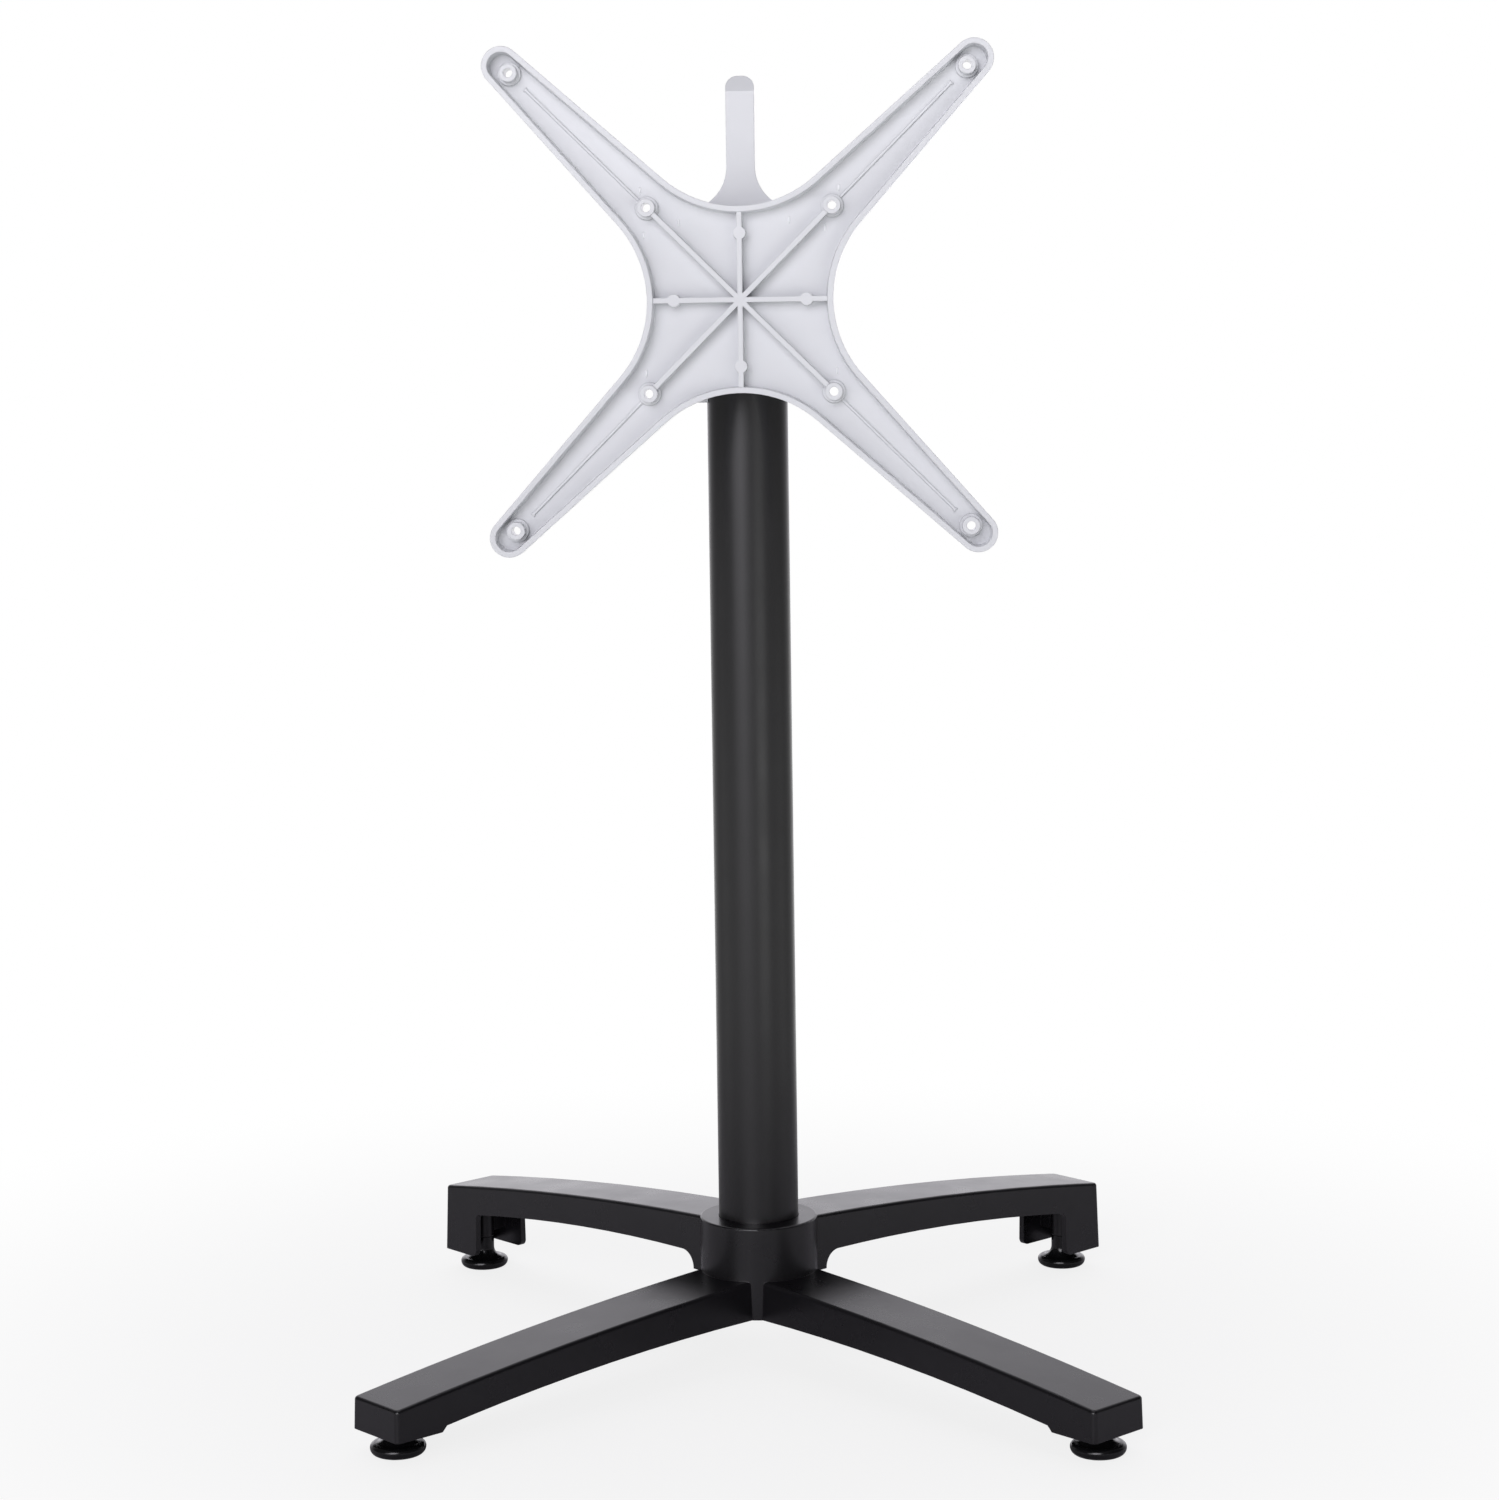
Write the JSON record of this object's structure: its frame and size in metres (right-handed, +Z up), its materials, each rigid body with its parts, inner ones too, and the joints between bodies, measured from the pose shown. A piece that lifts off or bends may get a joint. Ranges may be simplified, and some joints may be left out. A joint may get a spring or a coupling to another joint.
{
  "type": "nesting flip-top table base",
  "caption": "Four-legged nesting table base: hollow cast legs on two levels, round column, ribbed flip-up head with a release lever, levelling glides.",
  "frame": {"origin": "on the floor, under the column's axis", "axes": "+Z up along the column; -Y is the side that the upright head faces; +X to the right of it"},
  "size_m": [0.4582, 0.4582, 0.8231],
  "materials": {
    "black_casting": "satin black powder coat on cast aluminium",
    "black_tube": "satin black powder coat on steel tube",
    "silver_casting": "satin silver-grey paint on die-cast aluminium",
    "zinc_steel": "bright zinc plate",
    "black_rubber": "matt moulded rubber",
    "black_plastic": "glossy moulded nylon",
    "bush_plastic": "natural acetal"
  },
  "bodies": {
    "base": {"base_casting": "black_casting", "column_tube": "black_tube", "tie_rod": "zinc_steel", "tie_washer": "zinc_steel", "tie_nut": "zinc_steel", "hinge_head": "silver_casting", "hinge_pin": "zinc_steel", "hinge_clips": "zinc_steel", "stop_pads": "black_rubber"},
    "top_spider": {"spider_casting": "silver_casting", "stand_bumper": "black_rubber", "hinge_bushes": "bush_plastic", "lever_pin": "zinc_steel", "lever_clips": "zinc_steel"},
    "lever": {"latch_lever": "silver_casting", "lever_spring": "zinc_steel"},
    "foot_front_left": {"glide_front_left": "black_plastic", "glide_stud_front_left": "zinc_steel"},
    "foot_front_right": {"glide_front_right": "black_plastic", "glide_stud_front_right": "zinc_steel"},
    "foot_back_left": {"glide_back_left": "black_plastic", "glide_stud_back_left": "zinc_steel"},
    "foot_back_right": {"glide_back_right": "black_plastic", "glide_stud_back_right": "zinc_steel"}
  },
  "joints": [
    {"name": "top_flip", "type": "hinge", "parent": "base", "child": "top_spider", "pos_m": [0, -0.024, 0.645], "axis": [-1, 0, 0], "range_deg": [0, 90]},
    {"name": "lever_squeeze", "type": "hinge", "parent": "top_spider", "child": "lever", "pos_m": [0, -0.0485, 0.671], "axis": [1, 0, 0], "range_deg": [-9, 3], "stiffness_Nm_per_rad": 0.9},
    {"name": "level_front_left", "type": "slide", "parent": "base", "child": "foot_front_left", "axis": [0, 0, -1], "range_m": [0, 0.005]},
    {"name": "level_front_right", "type": "slide", "parent": "base", "child": "foot_front_right", "axis": [0, 0, -1], "range_m": [0, 0.005]},
    {"name": "level_back_left", "type": "slide", "parent": "base", "child": "foot_back_left", "axis": [0, 0, -1], "range_m": [0, 0.005]},
    {"name": "level_back_right", "type": "slide", "parent": "base", "child": "foot_back_right", "axis": [0, 0, -1], "range_m": [0, 0.005]}
  ]
}
